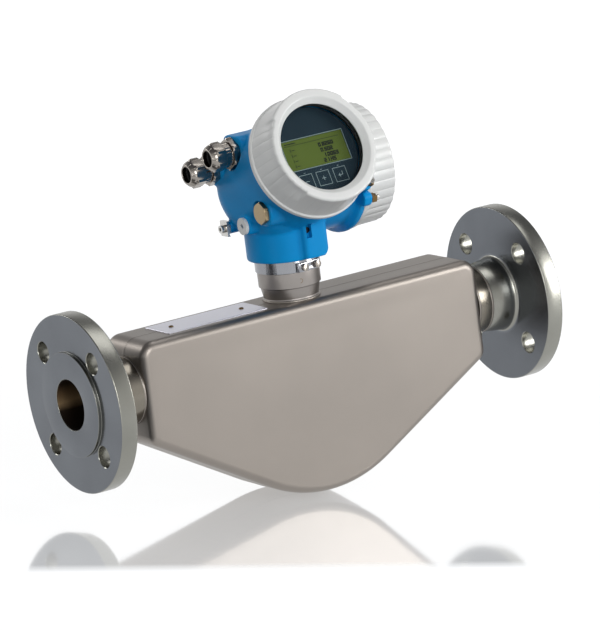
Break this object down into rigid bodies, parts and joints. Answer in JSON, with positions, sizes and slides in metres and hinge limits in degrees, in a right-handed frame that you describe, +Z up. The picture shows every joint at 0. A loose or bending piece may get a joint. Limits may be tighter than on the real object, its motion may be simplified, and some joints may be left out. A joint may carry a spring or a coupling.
{
  "type": "coriolis flow meter",
  "caption": "Mass flow meter for a flanged pipeline: bent measuring tubes in a welded steel body, under a turning transmitter head with a tilted display",
  "frame": {"origin": "centre of the inlet flange's raised face, on the pipe axis", "axes": "+X along the pipe from inlet to outlet, +Z up towards the transmitter, +Y to the rear, away from the display"},
  "size_m": [0.445, 0.1766, 0.3438],
  "materials": {
    "flange_steel": "turned stainless steel",
    "pipe_steel": "satin stainless steel",
    "shell_steel": "blasted and pickled stainless sheet",
    "tube_steel": "drawn stainless tube",
    "coil": "steel cup with a potted winding",
    "magnet": "nickel-plated magnet",
    "plate_metal": "bare bright sheet",
    "seal_rubber": "black rubber",
    "feed_ceramic": "sealed insulator with pins",
    "bright_steel": "bare stainless steel",
    "housing_paint": "smooth blue powder coat on cast aluminium",
    "cover_paint": "pale grey powder coat on cast aluminium",
    "window": "clear flat glass",
    "bare_aluminium": "bare aluminium",
    "display_black": "matt blue-black plastic",
    "screen_green": "reflective green liquid crystal screen",
    "board_green": "lacquered circuit board",
    "terminal_plastic": "moulded green plastic",
    "nickel_brass": "nickel-plated brass",
    "bronze": "bare bronze-coloured brass",
    "claw_dark": "dark cast claw"
  },
  "bodies": {
    "sensor": {"inlet_flange": "flange_steel", "outlet_flange": "flange_steel", "inlet_manifold": "pipe_steel", "outlet_manifold": "pipe_steel", "inlet_brace": "tube_steel", "outlet_brace": "tube_steel", "sensor_shell_front": "shell_steel", "sensor_shell_rear": "shell_steel", "measuring_tube_front": "tube_steel", "measuring_tube_rear": "tube_steel", "drive_coil": "coil", "drive_magnet": "magnet", "inlet_pickoff_coil": "coil", "outlet_pickoff_coil": "coil", "inlet_pickoff_magnet": "magnet", "outlet_pickoff_magnet": "magnet", "temperature_probe": "tube_steel", "nameplate": "plate_metal", "nameplate_rivets": "plate_metal", "neck_tube": "pipe_steel", "neck_seal": "seal_rubber", "neck_feedthrough": "feed_ceramic", "bayonet_ring": "bright_steel", "bayonet_screws": "bright_steel"},
    "transmitter": {"transmitter_housing": "housing_paint", "front_cover_seal": "seal_rubber", "terminal_cover_seal": "seal_rubber", "mounting_plate": "bare_aluminium", "power_board": "board_green", "amplifier_board": "board_green", "output_board": "board_green", "board_posts": "bright_steel", "terminal_block": "terminal_plastic", "terminal_screws": "bright_steel", "gland_a_body": "nickel_brass", "gland_a_seal": "seal_rubber", "gland_b_body": "nickel_brass", "gland_b_seal": "seal_rubber", "entry_plug": "bronze", "service_plug": "bright_steel", "earth_clamp": "bright_steel", "earth_screw": "bright_steel", "housing_lock_screw": "bright_steel"},
    "front_cover": {"front_cover": "cover_paint", "window_glass": "window", "window_retainer": "bare_aluminium"},
    "terminal_cover": {"terminal_cover": "cover_paint"},
    "display": {"display_carrier": "display_black", "display_panel": "display_black", "display_screen": "screen_green"},
    "gland_a_nut": {"gland_a_nut": "nickel_brass"},
    "gland_b_nut": {"gland_b_nut": "nickel_brass"},
    "front_clamp": {"front_clamp_claw": "claw_dark", "front_clamp_screw": "bright_steel"},
    "terminal_clamp": {"terminal_clamp_claw": "claw_dark", "terminal_clamp_screw": "bright_steel"}
  },
  "joints": [
    {"name": "head_turn", "type": "hinge", "parent": "sensor", "child": "transmitter", "pos_m": [0.2225, 0, 0.088], "axis": [0, 0, 1], "range_deg": [-180, 180]},
    {"name": "front_cover_turn", "type": "hinge", "parent": "transmitter", "child": "front_cover", "pos_m": [0.2225, 0, 0.14], "axis": [0, -0.8988, 0.4384], "continuous": true},
    {"name": "terminal_cover_turn", "type": "hinge", "parent": "transmitter", "child": "terminal_cover", "pos_m": [0.2225, 0, 0.14], "axis": [1, 0, 0], "continuous": true},
    {"name": "display_turn", "type": "hinge", "parent": "transmitter", "child": "display", "pos_m": [0.2225, 0, 0.14], "axis": [0, -0.8988, 0.4384], "range_deg": [-180, 180]},
    {"name": "gland_a_turn", "type": "hinge", "parent": "transmitter", "child": "gland_a_nut", "pos_m": [0.1835, 0, 0.1725], "axis": [-1, 0, 0], "continuous": true},
    {"name": "gland_b_turn", "type": "hinge", "parent": "transmitter", "child": "gland_b_nut", "pos_m": [0.1785, 0.028, 0.1575], "axis": [-1, 0, 0], "continuous": true},
    {"name": "front_clamp_turn", "type": "hinge", "parent": "transmitter", "child": "front_clamp", "pos_m": [0.27072, -0.06226, 0.13553], "axis": [0, -0.8988, 0.4384], "range_deg": [0, 90]},
    {"name": "terminal_clamp_turn", "type": "hinge", "parent": "transmitter", "child": "terminal_clamp", "pos_m": [0.2765, -0.05403, 0.12033], "axis": [1, 0, 0], "range_deg": [0, 90]}
  ]
}
